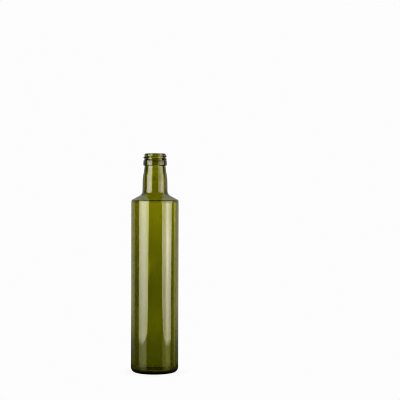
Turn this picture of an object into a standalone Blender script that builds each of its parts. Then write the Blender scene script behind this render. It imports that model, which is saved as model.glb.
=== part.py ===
"""Green glass olive oil bottle, empty and open.

One hollow body of revolution: a ring to stand on round a shallow push-up, a
straight cylinder, a conical shoulder, a slightly swelling neck, a bead, and
a screw finish with one rounded thread. Units are metres, +Z is up, and the
origin is the centre of the standing ring, on the surface that it stands on.
"""
import math

import bmesh
import bpy

OBJECT_NAME = "olive_oil_bottle"
NODE_NAME = "glass_bottle"
MM = 0.001

# Whole bottle
HEIGHT = 278.0 * MM
BODY_RADIUS = 30.25 * MM
BODY_WALL = 2.8 * MM
TURN_STEPS = 56
MERGE_DISTANCE = 0.00001

# Base: standing ring, heel curve and push-up
RING_OUTER_RADIUS = 25.3 * MM
RING_INNER_RADIUS = 21.6 * MM
HEEL_HEIGHT = 6.8 * MM
PUSH_UP_RADIUS = 20.6 * MM
PUSH_UP_EDGE = 1.0 * MM
PUSH_UP_HEIGHT = 3.2 * MM
FLOOR_CORNER_HEIGHT = 3.2 * MM
FLOOR_EDGE_HEIGHT = 4.2 * MM
FLOOR_CENTRE_HEIGHT = 6.4 * MM
FLOOR_DOME_RADIUS = 19.0 * MM
INNER_HEEL_RADIUS = 3.0 * MM

# Shoulder: a cone between two rounded corners, and a short taper from its edge to the straight wall
SHOULDER_HEIGHT = 218.65 * MM
SHOULDER_SLOPE = math.radians(28.0)
SHOULDER_CORNER_RADIUS = 2.0 * MM
SHOULDER_EDGE_RADIUS = 29.8 * MM
SHOULDER_TAPER_HEIGHT = 215.3 * MM
SHOULDER_TAPER_CURVE = 14.0 * MM
SHOULDER_INNER_CORNER_RADIUS = 2.6 * MM
SHOULDER_WALL = 2.4 * MM
NECK_FOOT_RADIUS = 6.7 * MM
NECK_FOOT_INNER_RADIUS = 9.4 * MM

# Neck: radius and height where its three nearly straight runs meet
NECK_BASE_RADIUS = 16.07 * MM
NECK_SWELL_RADIUS = 15.75 * MM
NECK_SWELL_HEIGHT = 247.1 * MM
NECK_SWELL_CURVE = 54.0 * MM
NECK_WAIST_RADIUS = 14.14 * MM
NECK_WAIST_HEIGHT = 255.3 * MM
NECK_WAIST_CURVE = 30.0 * MM
NECK_WALL = 3.7 * MM
NECK_BORE_RADIUS = 12.3 * MM
NECK_BORE_HEIGHT = 248.0 * MM
NECK_BORE_CURVE = 50.0 * MM
BORE_WAIST_RADIUS = 11.1 * MM
BORE_WAIST_HEIGHT = 255.0 * MM
BORE_WAIST_CURVE = 45.0 * MM

# Finish: bead, plain root that the thread stands on, and lip
BEAD_BOTTOM_RADIUS = 13.3 * MM
BEAD_BOTTOM_HEIGHT = 262.4 * MM
BEAD_RADIUS = 15.2 * MM
BEAD_EDGE_HEIGHT = 263.0 * MM
BEAD_TOP_RADIUS = 14.85 * MM
BEAD_TOP_HEIGHT = 269.3 * MM
BEAD_CORNER_RADIUS = 0.6 * MM
BEAD_SEAT_RADIUS = 0.3 * MM
ROOT_RADIUS = 13.65 * MM
LIP_CORNER_RADIUS = 1.9 * MM
MOUTH_RADIUS = 10.3 * MM
MOUTH_CORNER_RADIUS = 1.0 * MM
LIP_MIDDLE_RADIUS = 11.5 * MM
MOUTH_DEPTH = 17.0 * MM
MOUTH_CURVE = 20.0 * MM

# Thread: a right-hand helix of round section, half sunk in the root
THREAD_PITCH = 3.8 * MM
THREAD_SECTION_RADIUS = 1.25 * MM
THREAD_START_HEIGHT = 269.1 * MM
THREAD_START_ANGLE = math.radians(195.0)
THREAD_TURNS = 1.52
THREAD_RUN_OUT = math.radians(32.0)
THREAD_END_SECTION = 0.45
THREAD_SUNK_RADIUS = 12.7 * MM
THREAD_BEVEL_RESOLUTION = 2

# Material
GLASS_COLOUR = (0.20, 0.21, 0.012, 1.0)
GLASS_ROUGHNESS = 0.03
GLASS_IOR = 1.52


def clear_scene():
    for item in list(bpy.data.objects):
        bpy.data.objects.remove(item, do_unlink=True)


def new_collection(name):
    collection = bpy.data.collections.new(name)
    bpy.context.scene.collection.children.link(collection)
    return collection


def glass_material():
    """Clear olive-green bottle glass."""
    material = bpy.data.materials.new("green_glass")
    material.use_nodes = True
    shader = material.node_tree.nodes["Principled BSDF"]
    shader.inputs["Base Color"].default_value = GLASS_COLOUR
    shader.inputs["Roughness"].default_value = GLASS_ROUGHNESS
    shader.inputs["Metallic"].default_value = 0.0
    shader.inputs["IOR"].default_value = GLASS_IOR
    shader.inputs["Transmission Weight"].default_value = 1.0
    return material


def rounded_corner(before, corner, after, radius, steps):
    """Points of the arc that rounds a corner between two straight runs of (r, z) points."""
    def unit(start, end):
        length = math.dist(start, end)
        return ((end[0] - start[0]) / length, (end[1] - start[1]) / length)

    to_before = unit(corner, before)
    to_after = unit(corner, after)
    cosine = to_before[0] * to_after[0] + to_before[1] * to_after[1]
    half_angle = 0.5 * math.acos(max(-1.0, min(1.0, cosine)))
    bisector = (to_before[0] + to_after[0], to_before[1] + to_after[1])
    scale = radius / math.sin(half_angle) / math.hypot(*bisector)
    centre = (corner[0] + bisector[0] * scale, corner[1] + bisector[1] * scale)
    tangent = radius / math.tan(half_angle)
    start = (corner[0] + to_before[0] * tangent, corner[1] + to_before[1] * tangent)
    end = (corner[0] + to_after[0] * tangent, corner[1] + to_after[1] * tangent)
    first = math.atan2(start[1] - centre[1], start[0] - centre[0])
    last = math.atan2(end[1] - centre[1], end[0] - centre[0])
    sweep = (last - first + math.pi) % (2.0 * math.pi) - math.pi
    points = []
    for step in range(steps + 1):
        angle = first + sweep * step / steps
        points.append((centre[0] + radius * math.cos(angle), centre[1] + radius * math.sin(angle)))
    return points


def rounded_run(corners):
    """Outline through corners of (r, z, corner radius, arc steps); its two ends stay sharp."""
    points = [corners[0][:2]]
    for before, corner, after in zip(corners, corners[1:], corners[2:]):
        points += rounded_corner(before[:2], corner[:2], after[:2], corner[2], corner[3])
    points.append(corners[-1][:2])
    return points


def dome(edge_radius, edge_height, centre_height, steps):
    """Points of a shallow dome's arc, from its top on the axis out to its edge."""
    rise = centre_height - edge_height
    sphere = (edge_radius ** 2 + rise ** 2) / (2.0 * rise)
    half_angle = math.asin(edge_radius / sphere)
    points = []
    for step in range(steps + 1):
        angle = half_angle * step / steps
        points.append((sphere * math.sin(angle), centre_height - sphere * (1.0 - math.cos(angle))))
    return points


def shoulder_height_at(radius):
    """Height of the outer shoulder cone at a radius."""
    return SHOULDER_HEIGHT + (BODY_RADIUS - radius) * math.tan(SHOULDER_SLOPE)


def inner_outline():
    """Inside of the bottle, from the floor's centre up to the middle of the lip."""
    wall_radius = BODY_RADIUS - BODY_WALL
    shoulder_drop = SHOULDER_WALL / math.cos(SHOULDER_SLOPE)
    foot_radius = NECK_BASE_RADIUS - NECK_WALL
    floor = dome(FLOOR_DOME_RADIUS, FLOOR_EDGE_HEIGHT, FLOOR_CENTRE_HEIGHT, 4)
    wall = rounded_run([
        (*floor[-1], 0, 0),
        (wall_radius, FLOOR_CORNER_HEIGHT, INNER_HEEL_RADIUS, 4),
        (wall_radius, shoulder_height_at(wall_radius) - shoulder_drop, SHOULDER_INNER_CORNER_RADIUS, 3),
        (foot_radius, shoulder_height_at(foot_radius) - shoulder_drop, NECK_FOOT_INNER_RADIUS, 4),
        (NECK_BORE_RADIUS, NECK_BORE_HEIGHT, NECK_BORE_CURVE, 2),
        (BORE_WAIST_RADIUS, BORE_WAIST_HEIGHT, BORE_WAIST_CURVE, 2),
        (MOUTH_RADIUS, HEIGHT - MOUTH_DEPTH, MOUTH_CURVE, 2),
        (MOUTH_RADIUS, HEIGHT, MOUTH_CORNER_RADIUS, 3),
        (LIP_MIDDLE_RADIUS, HEIGHT, 0, 0),
    ])
    return floor + wall[1:-1]


def outer_outline():
    """Outside of the bottle, from the lip down to the standing ring."""
    return rounded_run([
        (LIP_MIDDLE_RADIUS, HEIGHT, 0, 0),
        (ROOT_RADIUS, HEIGHT, LIP_CORNER_RADIUS, 3),
        (ROOT_RADIUS, BEAD_TOP_HEIGHT, BEAD_SEAT_RADIUS, 1),
        (BEAD_TOP_RADIUS, BEAD_TOP_HEIGHT, BEAD_CORNER_RADIUS, 2),
        (BEAD_RADIUS, BEAD_EDGE_HEIGHT, BEAD_CORNER_RADIUS, 2),
        (BEAD_BOTTOM_RADIUS, BEAD_BOTTOM_HEIGHT, BEAD_CORNER_RADIUS, 2),
        (NECK_WAIST_RADIUS, NECK_WAIST_HEIGHT, NECK_WAIST_CURVE, 2),
        (NECK_SWELL_RADIUS, NECK_SWELL_HEIGHT, NECK_SWELL_CURVE, 3),
        (NECK_BASE_RADIUS, shoulder_height_at(NECK_BASE_RADIUS), NECK_FOOT_RADIUS, 4),
        (SHOULDER_EDGE_RADIUS, shoulder_height_at(SHOULDER_EDGE_RADIUS), SHOULDER_CORNER_RADIUS, 3),
        (BODY_RADIUS, SHOULDER_TAPER_HEIGHT, SHOULDER_TAPER_CURVE, 2),
        (BODY_RADIUS, HEEL_HEIGHT, 0, 0),
    ])[1:]


def heel_outline(steps=6):
    """Elliptic heel curve from the end of the straight wall to the standing ring."""
    run = BODY_RADIUS - RING_OUTER_RADIUS
    points = []
    for step in range(1, steps + 1):
        angle = 0.5 * math.pi * step / steps
        radius = RING_OUTER_RADIUS + run * math.cos(angle)
        points.append((radius, HEEL_HEIGHT * (1.0 - math.sin(angle))))
    return points


def underside_outline():
    """Standing ring's inner edge and the push-up, ending on the axis."""
    push_up = dome(PUSH_UP_RADIUS, PUSH_UP_EDGE, PUSH_UP_HEIGHT, 4)
    return [(RING_INNER_RADIUS, 0.0)] + push_up[::-1]


def turned_shell(collection):
    """The glass without its thread: one closed outline turned about Z."""
    outline = inner_outline() + outer_outline() + heel_outline() + underside_outline()
    mesh = bpy.data.meshes.new(NODE_NAME)
    shape = bmesh.new()
    points = [shape.verts.new((radius, 0.0, height)) for radius, height in outline]
    for first, second in zip(points, points[1:]):
        shape.edges.new((first, second))
    shape.to_mesh(mesh)
    shape.free()
    shell = bpy.data.objects.new(NODE_NAME, mesh)
    collection.objects.link(shell)
    screw = shell.modifiers.new("turn", "SCREW")
    screw.axis = "Z"
    screw.angle = 2.0 * math.pi
    screw.steps = TURN_STEPS
    screw.render_steps = TURN_STEPS
    screw.use_merge_vertices = True
    screw.merge_threshold = MERGE_DISTANCE
    screw.use_smooth_shade = True
    return shell


def thread_section(angle, last_angle):
    """Section scale and centre radius along the thread, which sinks and thins at both ends."""
    reach = min(angle, last_angle - angle, THREAD_RUN_OUT) / THREAD_RUN_OUT
    ease = math.sin(0.5 * math.pi * reach)
    scale = THREAD_END_SECTION + (1.0 - THREAD_END_SECTION) * ease
    radius = THREAD_SUNK_RADIUS + (ROOT_RADIUS - THREAD_SUNK_RADIUS) * ease
    return scale, radius


def thread_solid(collection):
    """The screw thread as a closed tube along its helix, made a mesh so that it can be joined."""
    last_angle = THREAD_TURNS * 2.0 * math.pi
    count = round(THREAD_TURNS * TURN_STEPS)
    curve = bpy.data.curves.new("thread_path", "CURVE")
    curve.dimensions = "3D"
    curve.bevel_depth = THREAD_SECTION_RADIUS
    curve.bevel_resolution = THREAD_BEVEL_RESOLUTION
    curve.use_fill_caps = True
    spline = curve.splines.new("POLY")
    spline.points.add(count)
    for index, point in enumerate(spline.points):
        angle = last_angle * index / count
        scale, radius = thread_section(angle, last_angle)
        turn = THREAD_START_ANGLE + angle
        height = THREAD_START_HEIGHT + THREAD_PITCH * angle / (2.0 * math.pi)
        point.co = (radius * math.cos(turn), radius * math.sin(turn), height, 1.0)
        point.radius = scale
    path = bpy.data.objects.new("thread_path", curve)
    collection.objects.link(path)
    bpy.context.view_layer.update()
    evaluated = path.evaluated_get(bpy.context.evaluated_depsgraph_get())
    mesh = bpy.data.meshes.new_from_object(evaluated)
    shape = bmesh.new()
    shape.from_mesh(mesh)
    bmesh.ops.remove_doubles(shape, verts=shape.verts, dist=MERGE_DISTANCE)
    shape.to_mesh(mesh)
    shape.free()
    thread = bpy.data.objects.new("thread", mesh)
    thread.matrix_world = path.matrix_world
    collection.objects.link(thread)
    bpy.data.objects.remove(path, do_unlink=True)
    thread.hide_render = True
    thread.display_type = "WIRE"
    return thread


def join_thread(shell, thread):
    union = shell.modifiers.new("thread", "BOOLEAN")
    union.operation = "UNION"
    union.solver = "EXACT"
    union.object = thread


def build_bottle():
    clear_scene()
    parts = new_collection(OBJECT_NAME)
    cutters = new_collection("cutters")
    shell = turned_shell(parts)
    thread = thread_solid(cutters)
    join_thread(shell, thread)
    material = glass_material()
    shell.data.materials.append(material)
    thread.data.materials.append(material)


build_bottle()
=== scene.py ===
"""Looks of the green glass olive oil bottle: fine glass mesh, glass material, floor, light and camera."""
import math

import bmesh
import bpy
from mathutils import Matrix, Vector


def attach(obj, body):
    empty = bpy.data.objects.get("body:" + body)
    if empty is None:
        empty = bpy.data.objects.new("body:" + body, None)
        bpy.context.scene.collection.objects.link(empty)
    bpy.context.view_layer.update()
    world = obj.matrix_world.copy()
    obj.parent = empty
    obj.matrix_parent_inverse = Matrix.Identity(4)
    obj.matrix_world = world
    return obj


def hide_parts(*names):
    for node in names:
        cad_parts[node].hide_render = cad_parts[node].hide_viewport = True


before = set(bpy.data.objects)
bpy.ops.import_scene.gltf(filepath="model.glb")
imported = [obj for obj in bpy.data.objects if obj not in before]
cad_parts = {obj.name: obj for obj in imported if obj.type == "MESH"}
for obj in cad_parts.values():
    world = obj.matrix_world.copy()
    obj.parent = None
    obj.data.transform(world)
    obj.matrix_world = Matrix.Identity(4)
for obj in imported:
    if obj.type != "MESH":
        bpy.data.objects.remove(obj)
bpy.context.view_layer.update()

MM = 0.001
NODE = "glass_bottle"

# Sizes of the bottle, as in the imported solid
HEIGHT = 278.0 * MM
BODY_RADIUS = 30.25 * MM
BODY_WALL = 2.8 * MM
RING_OUTER_RADIUS = 25.3 * MM
RING_INNER_RADIUS = 21.6 * MM
HEEL_HEIGHT = 6.8 * MM
PUSH_UP_RADIUS = 20.6 * MM
PUSH_UP_EDGE = 1.0 * MM
PUSH_UP_HEIGHT = 3.2 * MM
FLOOR_CORNER_HEIGHT = 3.2 * MM
FLOOR_EDGE_HEIGHT = 4.2 * MM
FLOOR_CENTRE_HEIGHT = 6.4 * MM
FLOOR_DOME_RADIUS = 19.0 * MM
INNER_HEEL_RADIUS = 3.0 * MM
SHOULDER_HEIGHT = 218.65 * MM
SHOULDER_SLOPE = math.radians(28.0)
SHOULDER_CORNER_RADIUS = 2.0 * MM
SHOULDER_EDGE_RADIUS = 29.8 * MM
SHOULDER_TAPER_HEIGHT = 215.3 * MM
SHOULDER_TAPER_CURVE = 14.0 * MM
SHOULDER_INNER_CORNER_RADIUS = 2.6 * MM
SHOULDER_WALL = 2.4 * MM
NECK_FOOT_RADIUS = 6.7 * MM
NECK_FOOT_INNER_RADIUS = 9.4 * MM
NECK_BASE_RADIUS = 16.07 * MM
NECK_SWELL_RADIUS = 15.75 * MM
NECK_SWELL_HEIGHT = 247.1 * MM
NECK_SWELL_CURVE = 54.0 * MM
NECK_WAIST_RADIUS = 14.14 * MM
NECK_WAIST_HEIGHT = 255.3 * MM
NECK_WAIST_CURVE = 30.0 * MM
NECK_WALL = 3.7 * MM
NECK_BORE_RADIUS = 12.3 * MM
NECK_BORE_HEIGHT = 248.0 * MM
NECK_BORE_CURVE = 50.0 * MM
BORE_WAIST_RADIUS = 11.1 * MM
BORE_WAIST_HEIGHT = 255.0 * MM
BORE_WAIST_CURVE = 45.0 * MM
BEAD_BOTTOM_RADIUS = 13.3 * MM
BEAD_BOTTOM_HEIGHT = 262.4 * MM
BEAD_RADIUS = 15.2 * MM
BEAD_EDGE_HEIGHT = 263.0 * MM
BEAD_TOP_RADIUS = 14.85 * MM
BEAD_TOP_HEIGHT = 269.3 * MM
BEAD_CORNER_RADIUS = 0.6 * MM
BEAD_SEAT_RADIUS = 0.3 * MM
ROOT_RADIUS = 13.65 * MM
LIP_CORNER_RADIUS = 1.9 * MM
MOUTH_RADIUS = 10.3 * MM
MOUTH_CORNER_RADIUS = 1.0 * MM
LIP_MIDDLE_RADIUS = 11.5 * MM
MOUTH_DEPTH = 17.0 * MM
MOUTH_CURVE = 20.0 * MM
THREAD_PITCH = 3.8 * MM
THREAD_SECTION_RADIUS = 1.4 * MM
THREAD_HALF_WIDTH = 1.1 * MM
THREAD_START_HEIGHT = 268.5 * MM
THREAD_START_ANGLE = math.radians(140.0)
THREAD_TURNS = 1.69
THREAD_RUN_OUT = math.radians(32.0)
THREAD_ROUNDNESS = 0.8

# Mesh fineness
COLUMNS = 288
INNER_RUN_STEP = 5.0 * MM
OUTER_RUN_STEP = 20.0 * MM
THREAD_ROW_STEP = 0.13 * MM
TINY = 0.001 * MM

# Glass: how much of each colour a metre of it takes
GLASS_IOR = 1.52
ABSORPTION = (284.0, 293.0, 1300.0)
# Streaks drawn out up the glass: how many to the metre each way, their tint and their ripple
STREAK_SCALE = (150.0, 150.0, 18.0)
STREAK_COLOUR = (0.95, 0.97, 0.90, 1.0)
STREAK_DETAIL = 2.0
RIPPLE_HEIGHT = 0.02 * MM

# Waves in the inside of the wall, as blowing leaves them: height, waves round and angle of each
WALL_WAVES = (
    (0.10 * MM, 2, 0.0),
    (0.05 * MM, 3, math.radians(-60.0)),
)
# A thinner spot in the front: how much thinner, its angle and height, and its reach round and up
THIN_SPOT = 0.4 * MM
THIN_ANGLE = math.radians(-95.0)
THIN_HEIGHT = 133.5 * MM
THIN_ROUND = 4.0 * MM
THIN_UP = 8.5 * MM
WAVE_BOTTOM = 14.0 * MM
WAVE_TOP = 262.0 * MM
WAVE_FADE = 25.0 * MM

# Stage. Levels are joined by straight lines
WHITE = 0.98
FLOOR_SIDE = 40.0
SHADOW_SAMPLES = 16
SHADOW_REACH = 0.02
SHADOW_COLOUR = (0.87, 0.87, 0.84, 1.0)

# Backdrop through the glass, over the upward part of the direction of sight, and the red share in it
THROUGH_SKY = (
    (-1.0, 0.8), (-0.24, 0.8), (-0.1758, 0.62), (-0.1178, 0.60), (-0.0962, 0.46), (-0.0783, 0.58),
    (-0.0576, 0.69), (-0.0368, 0.93), (-0.0142, 1.24), (-0.004, 1.02), (0.02, 0.98), (0.2, 0.98),
    (0.35, 0.85), (1.0, 0.85))
THROUGH_RED = (
    (-1.0, 0.88), (-0.1178, 0.88), (-0.0349, 0.98), (-0.0142, 0.98), (-0.004, 0.94), (1.0, 0.94))
# Its brighter sides, over degrees to the right of the line of sight
THROUGH_SIDES = (
    (-180.0, 0.9), (-50.0, 0.9), (-41.0, 0.3), (-36.0, 0.25), (-25.0, 0.3), (-21.0, 0.9), (-18.0, 1.1),
    (-12.0, 1.1), (-10.0, 0.8), (-7.0, 0.75), (-4.0, 1.0), (6.0, 1.0), (9.5, 1.15), (12.5, 2.3),
    (15.5, 2.3), (18.0, 1.2), (24.0, 0.6), (36.0, 0.4), (40.0, 0.45), (50.0, 0.9), (180.0, 0.9))
# Table top through the glass, over the distance from the bottle's axis: painted shade, darker towards the
# bottle
THROUGH_FLOOR_PAINTED_SHADE = (
    (0.0, 0.3), (0.03, 0.35), (0.07, 0.5), (0.122, 0.58), (0.241, 0.65), (0.382, 0.87), (0.534, 1.0))

# Mirrored in the glass: the table top, a see-through sheet with painted shade that darkens it towards the
# bottle's axis, over its distance; and the room over how far back it lies and over the upward part of the
# direction
MIRRORED_FLOOR_PAINTED_SHADE = (
    (0.0, 0.3), (0.03, 0.35), (0.045, 0.4), (0.07, 0.5), (0.10, 0.8), (0.13, 1.0), (1.0, 1.0))
ROOM = ((-1.0, 0.02), (0.30, 0.02), (0.40, 0.55), (1.0, 0.55))
ROOM_UP = (
    (-1.0, 0.2), (-0.160, 0.2), (-0.150, 0.25), (-0.139, 0.35), (-0.1245, 0.6), (-0.105, 1.0),
    (0.38, 1.0), (0.78, 1.15), (0.837, 1.6), (0.892, 0.0), (1.0, 0.0))
# The room's share, over that upward part, for what is mirrored on the inside of the glass
ROOM_INSIDE = ((-1.0, 2.2), (0.04, 2.2), (0.08, 0.3), (0.28, 0.3), (0.38, 0.8), (1.0, 0.8))

# Softboxes: two points on the floor plan that give the line of the panel and its scale, shares 0
# and 1; radiance up the panel; share across it; green and blue share; where it starts and ends; and
# a glow of the panel itself near and below the floor line, up the panel, with its own start, end,
# green and blue share: a painted reflection of a lit table top, which the panel shows in its place
SOFTBOX_BOTTOM = -0.3
SOFTBOX_TOP = 0.3909
SOFTBOX_START = -0.1
SOFTBOX_END = 1.25
EDGE_SOFTNESS = 0.02
GLOW_SOFTNESS = 0.12
LEFT_SOFTBOX = {
    "inner": (-0.1115, -0.2561),
    "outer": (-0.2676, -0.0535),
    "up": (
        (-0.3, 0.0), (0.0050, 0.0), (0.0175, 4.9), (0.0349, 5.4), (0.0672, 7.2),
        (0.1104, 8.3), (0.1535, 9.1), (0.2075, 10.0), (0.283, 9.6), (0.3909, 8.4)),
    "across": (
        (-0.1, 0.62), (0.0, 0.64), (0.09, 0.68), (0.19, 0.82), (0.27, 0.88), (0.36, 0.93), (0.49, 1.0),
        (0.62, 0.92), (0.72, 0.79), (0.82, 0.66), (0.94, 0.64), (1.25, 0.6)),
    "green": 0.965,
    "blue": (
        (-0.1, 0.5), (0.0, 0.5), (0.09, 0.54), (0.19, 0.64), (0.27, 0.8), (0.53, 0.9), (0.72, 0.85),
        (0.82, 0.76), (0.94, 0.66), (1.25, 0.6)),
    "start": (
        (-0.3, 0.58), (0.0065, 0.58), (0.022, 0.16), (0.0349, 0.13), (0.0672, 0.10), (0.1104, 0.08),
        (0.2129, 0.03), (0.3909, 0.03)),
    "end": ((-0.3, 0.97), (0.2129, 0.96), (0.2398, 1.0), (0.3909, 1.0)),
    "glow": (
        (-0.3, 0.0), (-0.06, 0.6), (-0.042, 1.3), (-0.03, 1.7), (0.012, 1.6), (0.025, 0.9), (0.045, 0.0),
        (0.3909, 0.0)),
    "glow_start": 0.18,
    "glow_end": 1.0,
    "glow_green": 1.04,
    "glow_blue": 0.55,
}
RIGHT_SOFTBOX = {
    "inner": (0.1531, -0.2333),
    "outer": (0.2719, -0.0116),
    "up": (
        (-0.3, 0.0), (0.0045, 0.0), (0.0150, 5.6), (0.0349, 6.8), (0.0672, 8.3),
        (0.1104, 9.7), (0.1568, 12.0), (0.1945, 9.8), (0.2129, 9.8), (0.229, 8.8), (0.2485, 6.5),
        (0.2722, 5.4), (0.3261, 4.4), (0.3909, 4.0)),
    "across": (
        (-0.1, 0.5), (0.0, 0.5), (0.08, 0.52), (0.18, 0.50), (0.27, 0.49), (0.36, 0.56), (0.45, 0.86),
        (0.55, 1.0), (0.63, 0.86), (0.74, 0.69), (0.85, 0.62), (1.25, 0.55)),
    "green": 0.93,
    "blue": (
        (-0.1, 0.5), (0.0, 0.5), (0.08, 0.56), (0.18, 0.68), (0.27, 0.75), (0.36, 0.75), (0.45, 0.89),
        (0.63, 0.9), (0.74, 0.83), (0.85, 0.68), (1.25, 0.6)),
    "start": (
        (-0.3, 0.40), (0.0025, 0.32), (0.0133, 0.27), (0.0208, 0.20), (0.0359, 0.12), (0.0672, 0.04),
        (0.2129, 0.03), (0.2452, -0.06), (0.3909, -0.06)),
    "end": ((-0.3, 0.92), (0.0672, 0.93), (0.1374, 0.965), (0.2129, 0.985), (0.2452, 1.17), (0.3909, 1.17)),
    "glow": (
        (-0.3, 0.0), (-0.06, 0.6), (-0.042, 1.5), (-0.03, 1.9), (0.012, 1.7), (0.025, 0.8), (0.045, 0.0),
        (0.3909, 0.0)),
    "glow_start": 0.05,
    "glow_end": 0.93,
    "glow_green": 1.0,
    "glow_blue": 0.32,
}

# Camera: set so that the bottle stands where it does in the 400 x 400 photograph
PHOTO_SIDE = 400
VIEW_END = 100.0
PIXEL_FILTER = 1.0
SENSOR = 36.0
FOCAL_PIXELS = 1178.5
CAMERA_DISTANCE = 1.5
CAMERA_HEIGHT = 0.2429
CAMERA_SIDE = 0.0573
CAMERA_PITCH = math.radians(0.914)
CAMERA_ROLL = math.radians(0.19)


def rounded_corner(before, corner, after, radius, steps):
    """Points of the arc that rounds a corner between two straight runs of (r, z) points."""
    def unit(start, end):
        length = math.dist(start, end)
        return ((end[0] - start[0]) / length, (end[1] - start[1]) / length)

    to_before = unit(corner, before)
    to_after = unit(corner, after)
    cosine = to_before[0] * to_after[0] + to_before[1] * to_after[1]
    half_angle = 0.5 * math.acos(max(-1.0, min(1.0, cosine)))
    bisector = (to_before[0] + to_after[0], to_before[1] + to_after[1])
    scale = radius / math.sin(half_angle) / math.hypot(*bisector)
    centre = (corner[0] + bisector[0] * scale, corner[1] + bisector[1] * scale)
    tangent = radius / math.tan(half_angle)
    start = (corner[0] + to_before[0] * tangent, corner[1] + to_before[1] * tangent)
    end = (corner[0] + to_after[0] * tangent, corner[1] + to_after[1] * tangent)
    first = math.atan2(start[1] - centre[1], start[0] - centre[0])
    last = math.atan2(end[1] - centre[1], end[0] - centre[0])
    sweep = (last - first + math.pi) % (2.0 * math.pi) - math.pi
    points = []
    for step in range(steps + 1):
        angle = first + sweep * step / steps
        points.append((centre[0] + radius * math.cos(angle), centre[1] + radius * math.sin(angle)))
    return points


def rounded_run(corners):
    """Outline through corners of (r, z, corner radius, arc steps); its two ends stay sharp."""
    points = [corners[0][:2]]
    for before, corner, after in zip(corners, corners[1:], corners[2:]):
        points += rounded_corner(before[:2], corner[:2], after[:2], corner[2], corner[3])
    points.append(corners[-1][:2])
    return points


def dome(edge_radius, edge_height, centre_height, steps):
    """Points of a shallow dome's arc, from its top on the axis out to its edge."""
    rise = centre_height - edge_height
    sphere = (edge_radius ** 2 + rise ** 2) / (2.0 * rise)
    half_angle = math.asin(edge_radius / sphere)
    points = []
    for step in range(steps + 1):
        angle = half_angle * step / steps
        points.append((sphere * math.sin(angle), centre_height - sphere * (1.0 - math.cos(angle))))
    return points


def shoulder_height_at(radius):
    return SHOULDER_HEIGHT + (BODY_RADIUS - radius) * math.tan(SHOULDER_SLOPE)


def inner_outline():
    wall_radius = BODY_RADIUS - BODY_WALL
    shoulder_drop = SHOULDER_WALL / math.cos(SHOULDER_SLOPE)
    foot_radius = NECK_BASE_RADIUS - NECK_WALL
    floor = dome(FLOOR_DOME_RADIUS, FLOOR_EDGE_HEIGHT, FLOOR_CENTRE_HEIGHT, 12)
    wall = rounded_run([
        (*floor[-1], 0, 0),
        (wall_radius, FLOOR_CORNER_HEIGHT, INNER_HEEL_RADIUS, 14),
        (wall_radius, shoulder_height_at(wall_radius) - shoulder_drop, SHOULDER_INNER_CORNER_RADIUS, 10),
        (foot_radius, shoulder_height_at(foot_radius) - shoulder_drop, NECK_FOOT_INNER_RADIUS, 14),
        (NECK_BORE_RADIUS, NECK_BORE_HEIGHT, NECK_BORE_CURVE, 8),
        (BORE_WAIST_RADIUS, BORE_WAIST_HEIGHT, BORE_WAIST_CURVE, 8),
        (MOUTH_RADIUS, HEIGHT - MOUTH_DEPTH, MOUTH_CURVE, 8),
        (MOUTH_RADIUS, HEIGHT, MOUTH_CORNER_RADIUS, 8),
        (LIP_MIDDLE_RADIUS, HEIGHT, 0, 0),
    ])
    return floor + wall[1:-1]


def outer_outline():
    return rounded_run([
        (LIP_MIDDLE_RADIUS, HEIGHT, 0, 0),
        (ROOT_RADIUS, HEIGHT, LIP_CORNER_RADIUS, 8),
        (ROOT_RADIUS, BEAD_TOP_HEIGHT, BEAD_SEAT_RADIUS, 4),
        (BEAD_TOP_RADIUS, BEAD_TOP_HEIGHT, BEAD_CORNER_RADIUS, 6),
        (BEAD_RADIUS, BEAD_EDGE_HEIGHT, BEAD_CORNER_RADIUS, 6),
        (BEAD_BOTTOM_RADIUS, BEAD_BOTTOM_HEIGHT, BEAD_CORNER_RADIUS, 6),
        (NECK_WAIST_RADIUS, NECK_WAIST_HEIGHT, NECK_WAIST_CURVE, 8),
        (NECK_SWELL_RADIUS, NECK_SWELL_HEIGHT, NECK_SWELL_CURVE, 12),
        (NECK_BASE_RADIUS, shoulder_height_at(NECK_BASE_RADIUS), NECK_FOOT_RADIUS, 14),
        (SHOULDER_EDGE_RADIUS, shoulder_height_at(SHOULDER_EDGE_RADIUS), SHOULDER_CORNER_RADIUS, 12),
        (BODY_RADIUS, SHOULDER_TAPER_HEIGHT, SHOULDER_TAPER_CURVE, 6),
        (BODY_RADIUS, HEEL_HEIGHT, 0, 0),
    ])[1:]


def heel_outline(steps=16):
    run = BODY_RADIUS - RING_OUTER_RADIUS
    points = []
    for step in range(1, steps + 1):
        angle = 0.5 * math.pi * step / steps
        radius = RING_OUTER_RADIUS + run * math.cos(angle)
        points.append((radius, HEEL_HEIGHT * (1.0 - math.sin(angle))))
    return points


def underside_outline():
    push_up = dome(PUSH_UP_RADIUS, PUSH_UP_EDGE, PUSH_UP_HEIGHT, 12)
    return [(RING_INNER_RADIUS, 0.0)] + push_up[::-1]


def split_long_runs(outline, longest):
    """Adds rows on the long straight runs, and close rows where the thread stands."""
    points = [outline[0]]
    for start, end in zip(outline, outline[1:]):
        on_thread = max(abs(start[0] - ROOT_RADIUS), abs(end[0] - ROOT_RADIUS)) < TINY
        step = THREAD_ROW_STEP if on_thread else longest
        count = max(1, math.ceil(math.dist(start, end) / step))
        for index in range(1, count + 1):
            share = index / count
            points.append((start[0] + (end[0] - start[0]) * share, start[1] + (end[1] - start[1]) * share))
    return points


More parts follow.
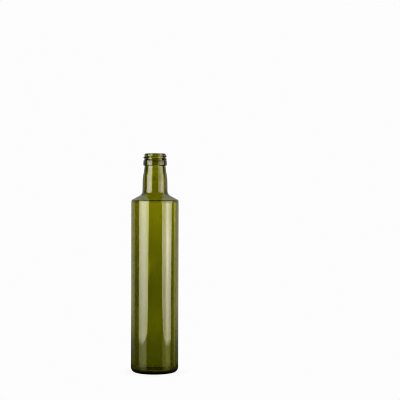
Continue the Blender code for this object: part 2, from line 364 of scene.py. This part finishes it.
def thread_height(turn, height):
    """How far the thread stands out of the root at an angle and a height."""
    out = 0.0
    first = THREAD_START_ANGLE
    last = THREAD_START_ANGLE + THREAD_TURNS * 2.0 * math.pi
    angle = turn
    while angle <= last:
        if angle >= first:
            centre = THREAD_START_HEIGHT + THREAD_PITCH * (angle - first) / (2.0 * math.pi)
            reach = min(angle - first, last - angle, THREAD_RUN_OUT) / THREAD_RUN_OUT
            scale = math.sin(0.5 * math.pi * reach)
            offset = abs(height - centre) / THREAD_HALF_WIDTH
            if offset < 1.0:
                section = math.cos(0.5 * math.pi * offset) ** THREAD_ROUNDNESS
                out = max(out, THREAD_SECTION_RADIUS * scale * section)
        angle += 2.0 * math.pi
    return out


def wall_wave(turn, height):
    """How far blowing has pushed the inside of the wall out, at an angle and a height."""
    fade = min(1.0, max(0.0, (height - WAVE_BOTTOM) / WAVE_FADE))
    fade = min(fade, max(0.0, (WAVE_TOP - height) / WAVE_FADE))
    push = 0.0
    for reach, waves, angle in WALL_WAVES:
        push += reach * math.cos(waves * (turn - angle))
    aside = (turn - THIN_ANGLE + math.pi) % (2.0 * math.pi) - math.pi
    from_spot = (aside * BODY_RADIUS / THIN_ROUND) ** 2 + ((height - THIN_HEIGHT) / THIN_UP) ** 2
    return fade * push + THIN_SPOT * math.exp(-0.5 * from_spot)


def bottle_mesh():
    """The whole wall, turned ring by ring from the middle of its floor to the middle of its underside."""
    inside = split_long_runs(inner_outline(), INNER_RUN_STEP)
    inner_rows = len(inside)
    outside = outer_outline() + heel_outline() + underside_outline()
    outline = inside + split_long_runs([inside[-1]] + outside, OUTER_RUN_STEP)[1:]
    shape = bmesh.new()
    rings = []
    for row, (radius, height) in enumerate(outline):
        if radius < TINY:
            rings.append([shape.verts.new((0.0, 0.0, height))])
            continue
        ring = []
        for column in range(COLUMNS):
            turn = 2.0 * math.pi * column / COLUMNS
            reach = radius
            if row < inner_rows:
                reach += wall_wave(turn, height)
            elif abs(radius - ROOT_RADIUS) < TINY:
                reach += thread_height(turn, height)
            ring.append(shape.verts.new((reach * math.cos(turn), reach * math.sin(turn), height)))
        rings.append(ring)
    for upper, lower in zip(rings, rings[1:]):
        for column in range(COLUMNS):
            after = (column + 1) % COLUMNS
            if len(upper) == 1:
                shape.faces.new((upper[0], lower[column], lower[after]))
            elif len(lower) == 1:
                shape.faces.new((upper[column], lower[0], upper[after]))
            else:
                shape.faces.new((upper[column], lower[column], lower[after], upper[after]))
    bmesh.ops.recalc_face_normals(shape, faces=shape.faces)
    mesh = bpy.data.meshes.new("bottle_glass")
    shape.to_mesh(mesh)
    shape.free()
    mesh.shade_smooth()
    return mesh


def glass_material():
    """Clear glass with drawn-out streaks in its tint and ripple, and green from absorption inside."""
    material = bpy.data.materials.new("bottle_glass")
    material.use_nodes = True
    nodes = material.node_tree.nodes
    links = material.node_tree.links
    shader = nodes["Principled BSDF"]
    shader.inputs["Roughness"].default_value = 0.0
    shader.inputs["IOR"].default_value = GLASS_IOR
    shader.inputs["Transmission Weight"].default_value = 1.0
    place = nodes.new("ShaderNodeTexCoord")
    stretch = nodes.new("ShaderNodeMapping")
    stretch.inputs["Scale"].default_value = STREAK_SCALE
    links.new(place.outputs["Object"], stretch.inputs["Vector"])
    streaks = nodes.new("ShaderNodeTexNoise")
    streaks.inputs["Scale"].default_value = 1.0
    streaks.inputs["Detail"].default_value = STREAK_DETAIL
    links.new(stretch.outputs["Vector"], streaks.inputs["Vector"])
    tint = nodes.new("ShaderNodeMix")
    tint.data_type = "RGBA"
    tint.inputs["A"].default_value = STREAK_COLOUR
    tint.inputs["B"].default_value = (1.0, 1.0, 1.0, 1.0)
    links.new(streaks.outputs["Fac"], tint.inputs["Factor"])
    links.new(tint.outputs["Result"], shader.inputs["Base Color"])
    ripple = nodes.new("ShaderNodeBump")
    ripple.inputs["Strength"].default_value = 1.0
    ripple.inputs["Distance"].default_value = RIPPLE_HEIGHT
    links.new(streaks.outputs["Fac"], ripple.inputs["Height"])
    links.new(ripple.outputs["Normal"], shader.inputs["Normal"])
    absorb = nodes.new("ShaderNodeVolumeAbsorption")
    densest = max(ABSORPTION)
    absorb.inputs["Density"].default_value = densest
    absorb.inputs["Color"].default_value = (*(1.0 - share / densest for share in ABSORPTION), 1.0)
    links.new(absorb.outputs["Volume"], nodes["Material Output"].inputs["Volume"])
    return material


def add_bottle():
    bottle = bpy.data.objects.new("bottle_glass", bottle_mesh())
    bpy.context.scene.collection.objects.link(bottle)
    bottle.data.materials.append(glass_material())
    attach(bottle, "root")
    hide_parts(NODE)
    return bottle


def math_node(tree, operation, *values):
    """A math node; each value is a socket or a number."""
    node = tree.nodes.new("ShaderNodeMath")
    node.operation = operation
    for slot, value in enumerate(values):
        if isinstance(value, (int, float)):
            node.inputs[slot].default_value = value
        else:
            tree.links.new(value, node.inputs[slot])
    return node.outputs["Value"]


def mix_shaders(tree, share, first, second):
    """The first shader, or the second by its share."""
    mix = tree.nodes.new("ShaderNodeMixShader")
    tree.links.new(share, mix.inputs["Fac"])
    tree.links.new(first, mix.inputs[1])
    tree.links.new(second, mix.inputs[2])
    return mix.outputs["Shader"]


def ramp(tree, value, stops):
    """Level along a value; stops are (value, level) pairs, joined by straight lines."""
    lowest, highest = stops[0][0], stops[-1][0]
    base = min(0.0, min(level for _, level in stops))
    peak = max(level for _, level in stops) - base
    scaled = tree.nodes.new("ShaderNodeMapRange")
    scaled.inputs["From Min"].default_value = lowest
    scaled.inputs["From Max"].default_value = highest
    tree.links.new(value, scaled.inputs["Value"])
    node = tree.nodes.new("ShaderNodeValToRGB")
    tree.links.new(scaled.outputs["Result"], node.inputs["Fac"])
    band = node.color_ramp
    while len(band.elements) < len(stops):
        band.elements.new(0.5)
    for element, (place, level) in zip(band.elements, stops):
        element.position = (place - lowest) / (highest - lowest)
        element.color = (*3 * ((level - base) / peak,), 1.0)
    return math_node(tree, "MULTIPLY_ADD", node.outputs["Color"], peak, base)


def place_nodes(tree):
    """Sockets of the point's X, Y and Z."""
    place = tree.nodes.new("ShaderNodeNewGeometry")
    apart = tree.nodes.new("ShaderNodeSeparateXYZ")
    tree.links.new(place.outputs["Position"], apart.inputs["Vector"])
    return apart.outputs["X"], apart.outputs["Y"], apart.outputs["Z"]


def add_floor():
    """Pale floor: white by its own light with a faint contact shadow to the eye; in the glass a see-through
    table top with painted shade, darker towards the bottle's axis.
    """
    bpy.ops.mesh.primitive_plane_add(size=FLOOR_SIDE, location=(0.0, 0.0, 0.0))
    floor = bpy.context.active_object
    floor.name = "floor"
    material = bpy.data.materials.new("floor")
    material.use_nodes = True
    tree = material.node_tree
    nodes, links = tree.nodes, tree.links
    path = nodes.new("ShaderNodeLightPath")
    x, y, _ = place_nodes(tree)
    radius = math_node(tree, "SQRT", math_node(
        tree, "ADD", math_node(tree, "MULTIPLY", x, x), math_node(tree, "MULTIPLY", y, y)))

    shade = nodes.new("ShaderNodeAmbientOcclusion")
    shade.samples = SHADOW_SAMPLES
    shade.inputs["Distance"].default_value = SHADOW_REACH
    tint = nodes.new("ShaderNodeMix")
    tint.data_type = "RGBA"
    tint.inputs["A"].default_value = SHADOW_COLOUR
    tint.inputs["B"].default_value = (WHITE, WHITE, WHITE, 1.0)
    links.new(shade.outputs["AO"], tint.inputs["Factor"])
    seen = nodes.new("ShaderNodeEmission")
    links.new(tint.outputs["Result"], seen.inputs["Color"])

    # Mirrored in the glass the table top carries painted shade, darker towards the bottle's axis
    mirrored = nodes.new("ShaderNodeBsdfTransparent")
    links.new(ramp(tree, radius, MIRRORED_FLOOR_PAINTED_SHADE), mirrored.inputs["Color"])
    # Through the glass the table top carries painted shade, darker towards the bottle's axis
    through = nodes.new("ShaderNodeBsdfTransparent")
    links.new(ramp(tree, radius, THROUGH_FLOOR_PAINTED_SHADE), through.inputs["Color"])
    glossy = math_node(tree, "GREATER_THAN", path.outputs["Glossy Depth"], 0.5)
    other = mix_shaders(tree, glossy, through.outputs["BSDF"], mirrored.outputs["BSDF"])
    out = mix_shaders(tree, path.outputs["Is Camera Ray"], other, seen.outputs["Emission"])
    links.new(out, nodes["Material Output"].inputs["Surface"])
    floor.data.materials.append(material)
    return floor


def inside_panel(tree, share, start, end, softness):
    """One between a start and an end across the panel, with soft edges, and nothing outside."""
    started = math_node(tree, "DIVIDE", math_node(tree, "SUBTRACT", share, start), softness)
    ended = math_node(tree, "DIVIDE", math_node(tree, "SUBTRACT", end, share), softness)
    inside = math_node(tree, "MINIMUM", started, ended)
    return math_node(tree, "MINIMUM", math_node(tree, "MAXIMUM", inside, 0.0), 1.0)


def add_softbox(
        name, inner, outer, up, across, green, blue, start, end,
        glow, glow_start, glow_end, glow_green, glow_blue):
    """A tall panel beside the bottle; inner and outer are points (x, y) on the floor plan."""
    scale = math.dist(inner, outer)
    width = scale * (SOFTBOX_END - SOFTBOX_START)
    height = SOFTBOX_TOP - SOFTBOX_BOTTOM
    centre = 0.5 * (SOFTBOX_START + SOFTBOX_END)
    middle = (
        inner[0] + (outer[0] - inner[0]) * centre,
        inner[1] + (outer[1] - inner[1]) * centre,
        0.5 * (SOFTBOX_BOTTOM + SOFTBOX_TOP))
    light = bpy.data.lights.new(name, "AREA")
    light.shape = "RECTANGLE"
    light.size = width
    light.size_y = height
    light.energy = math.pi * width * height
    light.use_nodes = True
    tree = light.node_tree
    path = tree.nodes.new("ShaderNodeLightPath")
    direct = math_node(tree, "LESS_THAN", path.outputs["Transmission Depth"], 0.5)
    once = math_node(tree, "COMPARE", path.outputs["Glossy Depth"], 1.0, 0.5)
    near = math_node(tree, "LESS_THAN", path.outputs["Transmission Depth"], 2.5)
    on = math_node(tree, "MAXIMUM", direct, math_node(tree, "MULTIPLY", once, near))
    x, y, z = place_nodes(tree)
    along_x = math_node(tree, "MULTIPLY", math_node(tree, "SUBTRACT", x, inner[0]), outer[0] - inner[0])
    along_y = math_node(tree, "MULTIPLY", math_node(tree, "SUBTRACT", y, inner[1]), outer[1] - inner[1])
    share = math_node(tree, "DIVIDE", math_node(tree, "ADD", along_x, along_y), scale ** 2)
    on = math_node(tree, "MULTIPLY", on, ramp(tree, share, across))
    inside = inside_panel(tree, share, ramp(tree, z, start), ramp(tree, z, end), EDGE_SOFTNESS)
    panel = math_node(tree, "MULTIPLY", on, math_node(tree, "MULTIPLY", ramp(tree, z, up), inside))
    # Glow of the panel near and below the floor line: painted reflection of a lit table top, shone by the
    # panel
    inside = inside_panel(tree, share, glow_start, glow_end, GLOW_SOFTNESS)
    below = math_node(tree, "MULTIPLY", on, math_node(tree, "MULTIPLY", ramp(tree, z, glow), inside))
    colour = tree.nodes.new("ShaderNodeCombineColor")
    tree.links.new(math_node(tree, "ADD", panel, below), colour.inputs["Red"])
    panel_green = math_node(tree, "MULTIPLY", panel, green)
    tree.links.new(math_node(tree, "MULTIPLY_ADD", below, glow_green, panel_green), colour.inputs["Green"])
    panel_blue = math_node(tree, "MULTIPLY", panel, ramp(tree, share, blue))
    tree.links.new(math_node(tree, "MULTIPLY_ADD", below, glow_blue, panel_blue), colour.inputs["Blue"])
    tree.links.new(colour.outputs["Color"], tree.nodes["Emission"].inputs["Color"])
    lamp = bpy.data.objects.new(name, light)
    along = math.atan2(outer[1] - inner[1], outer[0] - inner[0])
    turn = Matrix.Rotation(along, 4, "Z") @ Matrix.Rotation(math.radians(90.0), 4, "X")
    facing = turn.to_3x3() @ Vector((0.0, 0.0, -1.0))
    if facing.x * middle[0] + facing.y * middle[1] > 0.0:
        turn = Matrix.Rotation(math.pi, 4, "Z") @ turn
    lamp.matrix_world = Matrix.Translation(middle) @ turn
    bpy.context.scene.collection.objects.link(lamp)
    return lamp


def add_world():
    """White to the eye; through the glass a backdrop that darkens downwards; dark room in reflections."""
    world = bpy.data.worlds.new("studio")
    bpy.context.scene.world = world
    world.use_nodes = True
    tree = world.node_tree
    nodes, links = tree.nodes, tree.links
    path = nodes.new("ShaderNodeLightPath")
    place = nodes.new("ShaderNodeTexCoord")
    apart = nodes.new("ShaderNodeSeparateXYZ")
    links.new(place.outputs["Generated"], apart.inputs["Vector"])
    x, y, z = apart.outputs["X"], apart.outputs["Y"], apart.outputs["Z"]

    aside = math_node(tree, "MULTIPLY", math_node(tree, "ARCTAN2", x, y), 180.0 / math.pi)
    aside = math_node(tree, "ADD", aside, math.degrees(math.atan2(CAMERA_SIDE, CAMERA_DISTANCE)))
    level = math_node(tree, "MULTIPLY", ramp(tree, z, THROUGH_SKY), ramp(tree, aside, THROUGH_SIDES))
    colour = nodes.new("ShaderNodeCombineColor")
    links.new(math_node(tree, "MULTIPLY", level, ramp(tree, z, THROUGH_RED)), colour.inputs["Red"])
    links.new(level, colour.inputs["Green"])
    links.new(level, colour.inputs["Blue"])
    through = nodes.new("ShaderNodeBackground")
    links.new(colour.outputs["Color"], through.inputs["Color"])

    sideways = math_node(tree, "SQRT", math_node(tree, "SUBTRACT", 1.0, math_node(tree, "MULTIPLY", z, z)))
    back = math_node(tree, "DIVIDE", y, math_node(tree, "MAXIMUM", sideways, 0.001))
    room = math_node(tree, "MULTIPLY", ramp(tree, z, ROOM_UP), ramp(tree, back, ROOM))
    from_inside = math_node(tree, "GREATER_THAN", path.outputs["Transmission Depth"], 0.5)
    more = math_node(tree, "SUBTRACT", ramp(tree, z, ROOM_INSIDE), 1.0)
    room = math_node(tree, "MULTIPLY", room, math_node(tree, "MULTIPLY_ADD", from_inside, more, 1.0))
    reflected = nodes.new("ShaderNodeBackground")
    links.new(room, reflected.inputs["Color"])
    white = nodes["Background"]
    white.inputs["Color"].default_value = (WHITE, WHITE, WHITE, 1.0)
    glossy = math_node(tree, "GREATER_THAN", path.outputs["Glossy Depth"], 0.5)
    other = mix_shaders(tree, glossy, through.outputs["Background"], reflected.outputs["Background"])
    out = mix_shaders(tree, path.outputs["Is Camera Ray"], other, white.outputs["Background"])
    links.new(out, nodes["World Output"].inputs["Surface"])


def add_camera():
    """Camera of the photograph: nearly level, a little to the right of the bottle."""
    data = bpy.data.cameras.new("camera")
    data.sensor_width = SENSOR
    data.lens = FOCAL_PIXELS * SENSOR / PHOTO_SIDE
    data.clip_end = VIEW_END
    camera = bpy.data.objects.new("camera", data)
    turn = Matrix.Rotation(math.radians(90.0) - CAMERA_PITCH, 4, "X") @ Matrix.Rotation(CAMERA_ROLL, 4, "Z")
    camera.matrix_world = Matrix.Translation((CAMERA_SIDE, -CAMERA_DISTANCE, CAMERA_HEIGHT)) @ turn
    bpy.context.scene.collection.objects.link(camera)
    bpy.context.scene.camera = camera


add_camera()
add_bottle()
add_floor()
add_world()
add_softbox("left_softbox", **LEFT_SOFTBOX)
add_softbox("right_softbox", **RIGHT_SOFTBOX)
bpy.context.scene.cycles.filter_width = PIXEL_FILTER
bpy.context.scene.view_settings.view_transform = "Standard"
